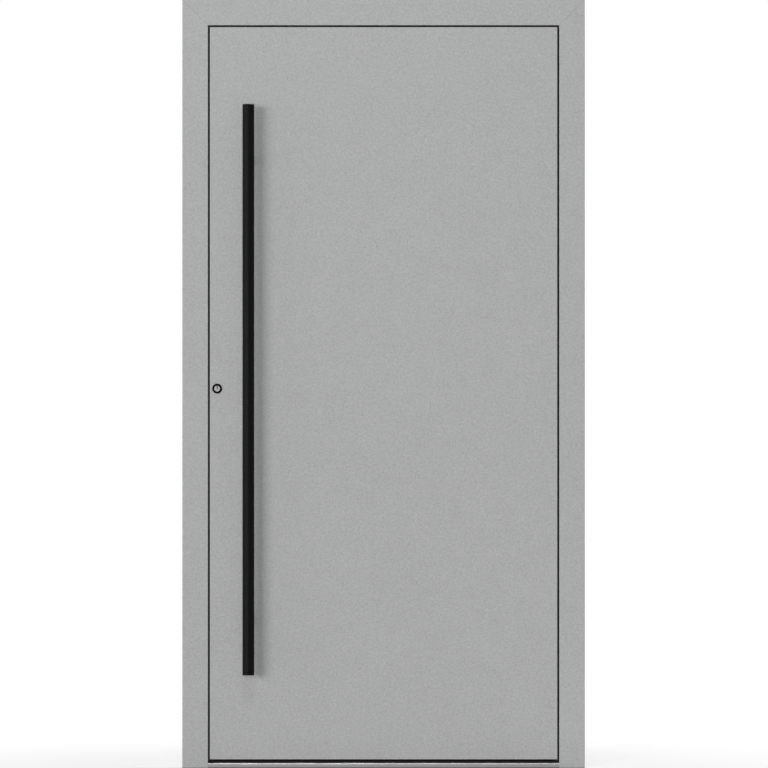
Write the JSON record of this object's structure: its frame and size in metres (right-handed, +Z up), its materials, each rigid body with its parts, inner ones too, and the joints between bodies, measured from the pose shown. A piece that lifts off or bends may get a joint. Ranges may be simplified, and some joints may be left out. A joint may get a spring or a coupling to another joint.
{
  "type": "aluminium front door with frame",
  "caption": "Flush aluminium front door leaf hinged in its frame, with a long round pull bar outside, a key cylinder, an inside lever and a low threshold.",
  "frame": {"origin": "on the threshold's flat underside, at the middle of the door's width and of the frame's depth", "axes": "+X towards the hinge side as seen from outside, +Y into the building, +Z up"},
  "size_m": [1.1, 0.2025, 2.1],
  "materials": {
    "powder_coat": "fine-textured metallic powder coat",
    "anodised": "natural anodised",
    "isolator": "extruded polyamide",
    "seal_rubber": "matt black rubber",
    "core_foam": "rigid foam",
    "black_coat": "satin black powder coat",
    "lock_steel": "brushed stainless steel",
    "cylinder_nickel": "satin nickel plate",
    "hinge_coat": "smooth powder coat in the frame's colour"
  },
  "bodies": {
    "frame": {"lock_jamb_outer_shell": "powder_coat", "lock_jamb_inner_shell": "powder_coat", "hinge_jamb_outer_shell": "powder_coat", "hinge_jamb_inner_shell": "powder_coat", "head_outer_shell": "powder_coat", "head_inner_shell": "powder_coat", "frame_thermal_break": "isolator", "frame_gasket": "seal_rubber", "threshold_outer_profile": "anodised", "threshold_thermal_break": "isolator", "threshold_inner_profile": "anodised", "strike_plates": "lock_steel", "hinge_frame_plates": "hinge_coat", "hinge_pins": "lock_steel"},
    "leaf": {"leaf_outer_panel": "powder_coat", "leaf_inner_panel": "powder_coat", "leaf_core": "core_foam", "lock_stile_outer_shell": "powder_coat", "lock_stile_inner_shell": "powder_coat", "hinge_stile_outer_shell": "powder_coat", "hinge_stile_inner_shell": "powder_coat", "top_rail_outer_shell": "powder_coat", "top_rail_inner_shell": "powder_coat", "bottom_rail_outer_shell": "powder_coat", "bottom_rail_inner_shell": "powder_coat", "leaf_thermal_break": "isolator", "bottom_seal": "seal_rubber", "hinge_leaf_plates": "hinge_coat", "lock_faceplate": "lock_steel", "lock_case": "lock_steel", "latch_bolt": "cylinder_nickel", "dead_bolt": "cylinder_nickel", "hook_bolts": "cylinder_nickel", "pull_bar": "black_coat", "pull_bar_end_caps": "black_coat", "pull_bar_standoffs": "black_coat", "cylinder_housing": "cylinder_nickel", "cylinder_ring": "black_coat", "cylinder_inner_ring": "black_coat", "cylinder_inner_plug": "cylinder_nickel", "lever_rose": "black_coat", "lever_handle": "black_coat"},
    "key_plug": {"cylinder_plug": "cylinder_nickel"}
  },
  "joints": [
    {"name": "leaf_swing", "type": "hinge", "parent": "frame", "child": "leaf", "pos_m": [0.499, 0.0495, 1.05], "axis": [0, 0, -1], "range_deg": [0, 110]},
    {"name": "key_turn", "type": "hinge", "parent": "leaf", "child": "key_plug", "pos_m": [-0.455, -0.0375, 1.037], "axis": [0, 1, 0], "continuous": true}
  ]
}
